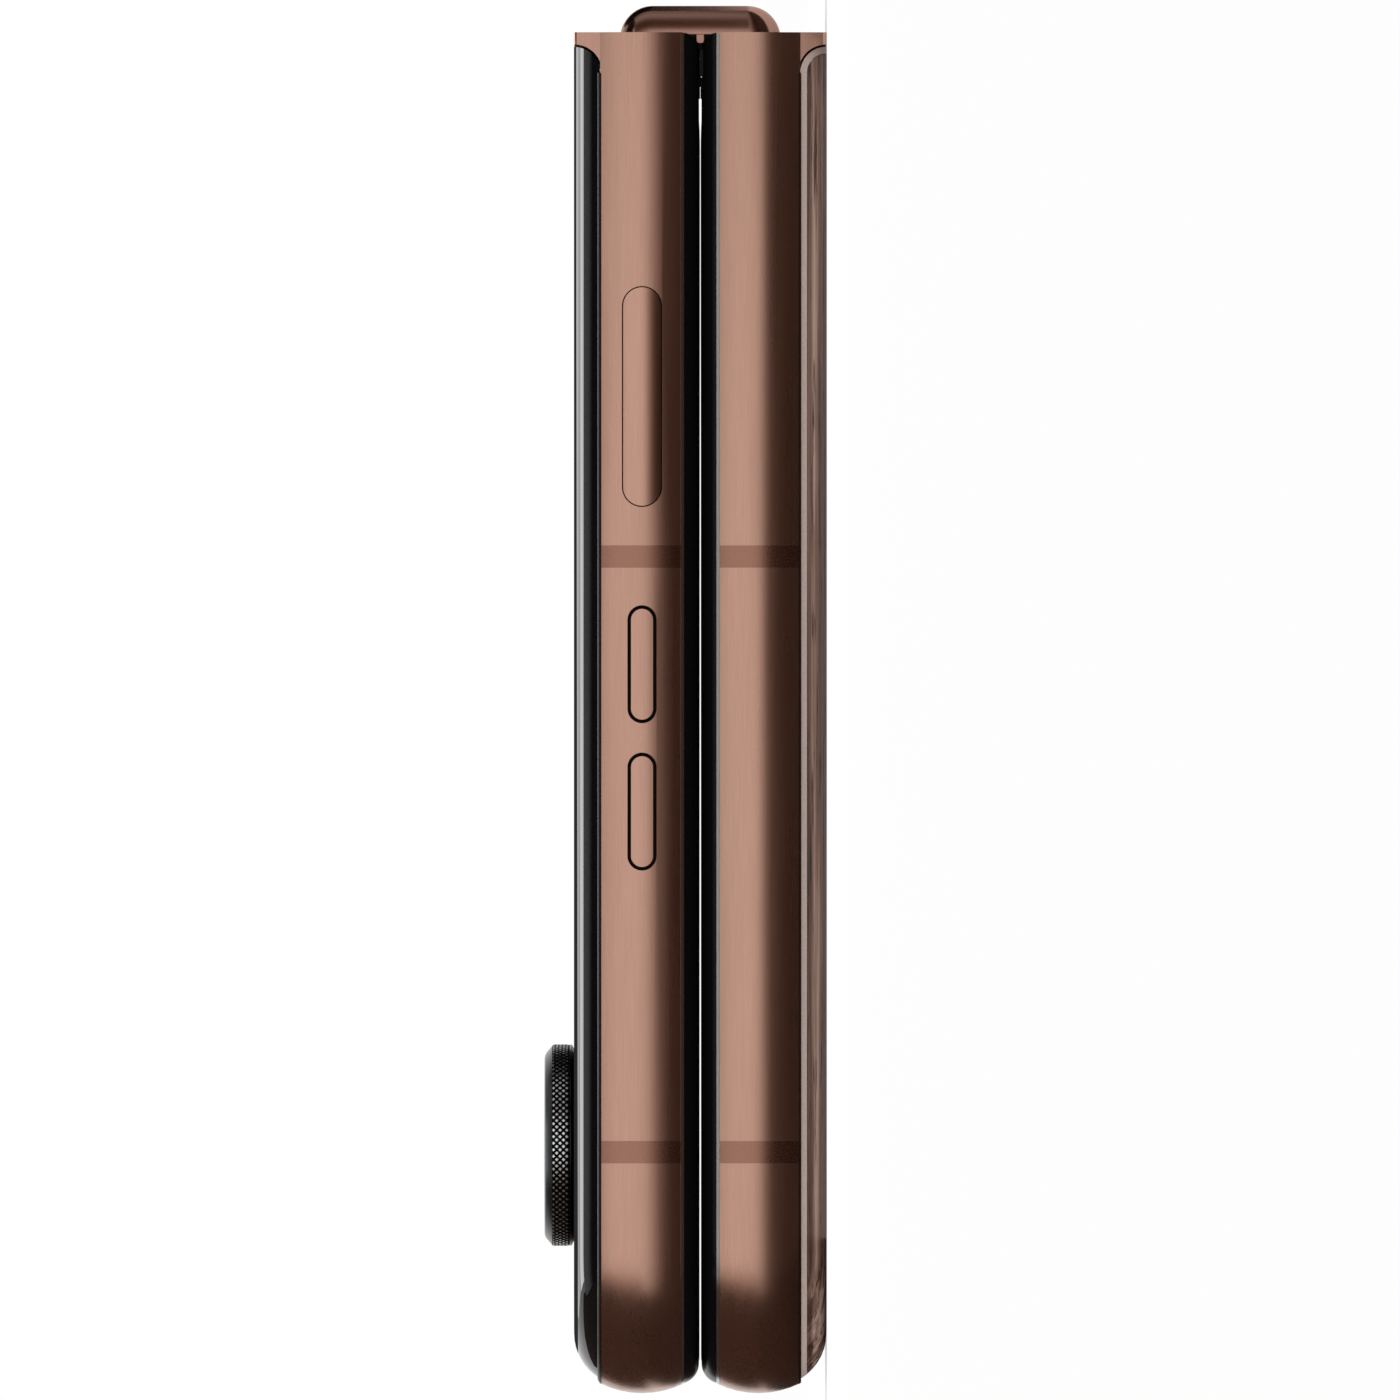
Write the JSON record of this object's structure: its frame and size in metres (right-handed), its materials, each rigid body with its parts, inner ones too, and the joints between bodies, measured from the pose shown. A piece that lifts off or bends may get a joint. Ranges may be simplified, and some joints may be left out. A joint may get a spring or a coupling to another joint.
{
  "type": "folding clamshell phone",
  "caption": "Clamshell phone whose two halves and flexible display fold shut on a geared double hinge, with side keys and raised camera rings.",
  "frame": {"origin": "centre of the rear panel's flat face, under the closed phone, in the middle of its length and width", "axes": "+X along the fold towards the side with the keys, +Y from the free end to the hinge, +Z out of the rear panel towards the cover glass"},
  "size_m": [0.0743, 0.0878, 0.0179],
  "materials": {
    "copper_frame": "fine brushed, anodised copper brown",
    "antenna_plastic": "satin",
    "bezel_black": "satin",
    "screen": "polished, dark",
    "cover_glass": "polished, dark",
    "wood_panel": "fine open grain, satin",
    "trim_taupe": "satin",
    "spine_brown": "glossy",
    "ring_black": "anodised black, diamond knurl",
    "lens_glass": "coated",
    "flash_cream": "fine lens ribs",
    "camera_black": "matte",
    "battery_foil": "satin",
    "board_green": "satin",
    "shield_steel": "brushed",
    "coil_copper": "bare wound wire",
    "hinge_steel": "machined",
    "gear_brass": "machined",
    "speaker_black": "matte"
  },
  "bodies": {
    "base": {"base_frame": "copper_frame", "rear_panel": "wood_panel", "panel_trim": "trim_taupe", "base_bezel": "bezel_black", "display_lower": "screen", "base_antenna_breaks": "antenna_plastic", "battery_lower": "battery_foil", "main_board": "board_green", "board_shields": "shield_steel", "charging_coil": "coil_copper", "usb_port": "shield_steel", "loudspeaker": "speaker_black", "vibration_motor": "shield_steel", "sim_reader": "shield_steel", "base_magnets": "hinge_steel", "base_hinge_arms": "hinge_steel", "base_arm_screws": "hinge_steel", "base_hinge_pins": "hinge_steel", "base_sync_gears": "gear_brass"},
    "tray": {"sim_tray": "copper_frame"},
    "spine": {"spine_cover": "spine_brown", "hinge_brackets": "hinge_steel", "hinge_beam": "hinge_steel", "idler_axles": "hinge_steel", "display_crease": "screen"},
    "idler_base": {"idler_gears_base_side": "gear_brass"},
    "idler_lid": {"idler_gears_lid_side": "gear_brass"},
    "lid": {"lid_frame": "copper_frame", "cover_glass": "cover_glass", "cover_display": "screen", "lid_bezel": "bezel_black", "display_upper": "screen", "lid_antenna_breaks": "antenna_plastic", "camera_ring_main": "ring_black", "camera_ring_wide": "ring_black", "camera_lens_main": "lens_glass", "camera_lens_wide": "lens_glass", "camera_module_main": "camera_black", "camera_module_wide": "camera_black", "flash_lens": "flash_cream", "battery_upper": "battery_foil", "lid_board": "board_green", "lid_shield": "shield_steel", "earpiece": "speaker_black", "selfie_camera": "camera_black", "key_board": "board_green", "key_switches": "shield_steel", "lid_magnets": "hinge_steel", "lid_hinge_arms": "hinge_steel", "lid_arm_screws": "hinge_steel", "lid_hinge_pins": "hinge_steel", "lid_sync_gears": "gear_brass"},
    "power": {"power_key": "copper_frame"},
    "volume_up": {"volume_up_key": "copper_frame"},
    "volume_down": {"volume_down_key": "copper_frame"}
  },
  "joints": [
    {"name": "spine_fold", "type": "hinge", "parent": "base", "child": "spine", "pos_m": [0, 0.0411, 0.00688], "axis": [-1, 0, 0], "range_deg": [0, 90]},
    {"name": "lid_fold", "type": "hinge", "parent": "spine", "child": "lid", "pos_m": [0, 0.0411, 0.00908], "axis": [-1, 0, 0], "range_deg": [0, 90]},
    {"name": "idler_base_turn", "type": "hinge", "parent": "spine", "child": "idler_base", "pos_m": [0, 0.0423, 0.00738], "axis": [-1, 0, 0], "range_deg": [0, 106]},
    {"name": "idler_lid_turn", "type": "hinge", "parent": "spine", "child": "idler_lid", "pos_m": [0, 0.0423, 0.00858], "axis": [-1, 0, 0], "range_deg": [-106, 0]},
    {"name": "power_press", "type": "slide", "parent": "lid", "child": "power", "axis": [-1, 0, 0], "range_m": [0, 0.00025], "stiffness_N_per_m": 600, "springref_m": -0.0005},
    {"name": "volume_up_press", "type": "slide", "parent": "lid", "child": "volume_up", "axis": [-1, 0, 0], "range_m": [0, 0.00025], "stiffness_N_per_m": 600, "springref_m": -0.0005},
    {"name": "volume_down_press", "type": "slide", "parent": "lid", "child": "volume_down", "axis": [-1, 0, 0], "range_m": [0, 0.00025], "stiffness_N_per_m": 600, "springref_m": -0.0005},
    {"name": "tray_slide", "type": "slide", "parent": "base", "child": "tray", "axis": [-1, 0, 0], "range_m": [0, 0.014]}
  ],
  "couplings": [
    {"joint": "lid_fold", "follows": "spine_fold", "ratio": 1},
    {"joint": "idler_base_turn", "follows": "spine_fold", "ratio": 1.1667},
    {"joint": "idler_lid_turn", "follows": "spine_fold", "ratio": -1.1667}
  ]
}
